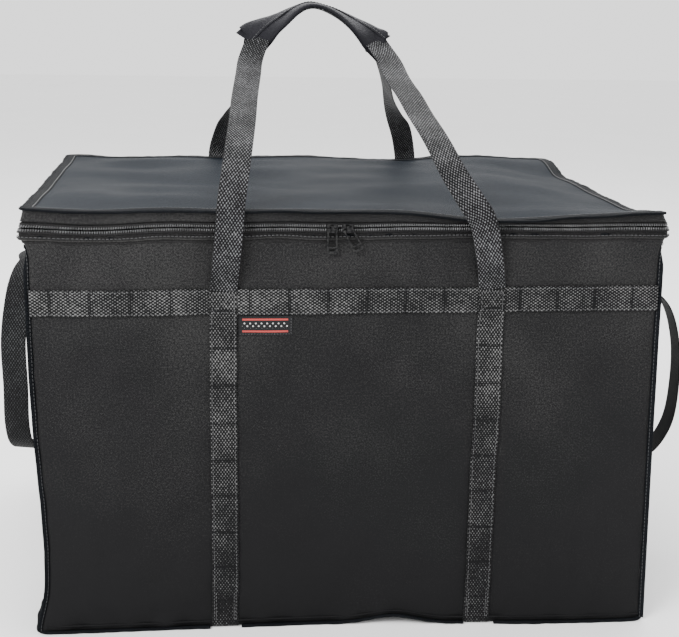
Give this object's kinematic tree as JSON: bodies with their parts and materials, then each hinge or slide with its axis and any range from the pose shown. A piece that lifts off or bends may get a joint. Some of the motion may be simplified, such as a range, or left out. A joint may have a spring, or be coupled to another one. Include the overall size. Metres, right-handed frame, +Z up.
{
  "type": "insulated food carrier",
  "caption": "Soft box-shaped insulated carrier bag with a zip-top lid, foil lining, webbing carry loops meeting in a wrapped grip, and a webbing loop on each side.",
  "frame": {"origin": "on the floor, under the middle of the bag's bottom panel", "axes": "+Z up; the front, with the zip sliders and the label, faces -Y; +X is the right of someone who faces the front"},
  "size_m": [0.7065, 0.4571, 0.5905],
  "materials": {
    "shell_cloth": "matt woven",
    "lid_cloth": "soft sheen woven",
    "binding_tape": "matt woven",
    "webbing": "coarse woven",
    "grip_cloth": "soft sheen woven",
    "foam": "closed-cell foam",
    "foil": "embossed foil",
    "zip_tape": "matt woven",
    "zip_coil": "satin",
    "zip_metal": "black nickel",
    "label": "woven"
  },
  "bodies": {
    "bag": {"band_front": "webbing", "band_rear": "webbing", "bottom_binding": "binding_tape", "corner_bindings": "binding_tape", "foam_bottom": "foam", "foam_front": "foam", "foam_left": "foam", "foam_rear": "foam", "foam_right": "foam", "hem_binding": "binding_tape", "label": "label", "lid_hinge_strip": "shell_cloth", "liner_bottom": "foil", "liner_front": "foil", "liner_left": "foil", "liner_rear": "foil", "liner_right": "foil", "panel_bottom": "shell_cloth", "panel_front": "shell_cloth", "panel_left": "shell_cloth", "panel_rear": "shell_cloth", "panel_right": "shell_cloth", "side_loop_ends_left": "webbing", "side_loop_ends_right": "webbing", "strap_front_left": "webbing", "strap_front_right": "webbing", "strap_rear_left": "webbing", "strap_rear_right": "webbing", "strap_under_left": "webbing", "strap_under_right": "webbing", "zip_coil_lower": "zip_coil", "zip_end_tabs": "binding_tape", "zip_tape_lower": "zip_tape"},
    "lid": {"lid_panel": "lid_cloth", "lid_foam": "foam", "lid_liner": "foil", "lid_skirt": "shell_cloth", "lid_binding": "binding_tape", "zip_tape_upper": "zip_tape", "zip_coil_upper": "zip_coil"},
    "front_loop": {"front_carry_loop": "webbing", "grip_wrap": "grip_cloth"},
    "rear_loop": {"rear_carry_loop": "webbing"},
    "side_loop_left": {"side_loop_left": "webbing"},
    "side_loop_right": {"side_loop_right": "webbing"},
    "slider_left": {"slider_left": "zip_metal"},
    "slider_right": {"slider_right": "zip_metal"},
    "zip_pull_left": {"zip_pull_left": "zip_metal"},
    "zip_pull_right": {"zip_pull_right": "zip_metal"}
  },
  "joints": [
    {"name": "lid_hinge", "type": "hinge", "parent": "bag", "child": "lid", "pos_m": [0, 0.2181, 0.397], "axis": [-1, 0, 0], "range_deg": [0, 90]},
    {"name": "front_loop_swing", "type": "hinge", "parent": "bag", "child": "front_loop", "pos_m": [0, -0.224, 0.339], "axis": [1, 0, 0], "range_deg": [0, 180]},
    {"name": "rear_loop_swing", "type": "hinge", "parent": "bag", "child": "rear_loop", "pos_m": [0, 0.224, 0.339], "axis": [-1, 0, 0], "range_deg": [0, 180]},
    {"name": "side_loop_left_swing", "type": "hinge", "parent": "bag", "child": "side_loop_left", "pos_m": [-0.294, -0.06, 0.218], "axis": [0, 0, 1], "range_deg": [-134, 0]},
    {"name": "side_loop_right_swing", "type": "hinge", "parent": "bag", "child": "side_loop_right", "pos_m": [0.294, -0.06, 0.218], "axis": [0, 0, 1], "range_deg": [-60, 60]},
    {"name": "slider_left_slide", "type": "slide", "parent": "bag", "child": "slider_left", "axis": [-1, 0, 0], "range_m": [0, 0.262]},
    {"name": "slider_right_slide", "type": "slide", "parent": "bag", "child": "slider_right", "axis": [1, 0, 0], "range_m": [0, 0.276]},
    {"name": "zip_pull_left_lift", "type": "hinge", "parent": "slider_left", "child": "zip_pull_left", "pos_m": [-0.0193, -0.22065, 0.3919], "axis": [-1, 0, 0], "range_deg": [0, 110]},
    {"name": "zip_pull_right_lift", "type": "hinge", "parent": "slider_right", "child": "zip_pull_right", "pos_m": [-0.005, -0.22065, 0.3919], "axis": [-0.8829, 0, -0.4695], "range_deg": [0, 110]}
  ],
  "couplings": [
    {"joint": "front_loop_swing", "follows": "lid_hinge", "ratio": 2},
    {"joint": "rear_loop_swing", "follows": "lid_hinge", "ratio": 2}
  ]
}
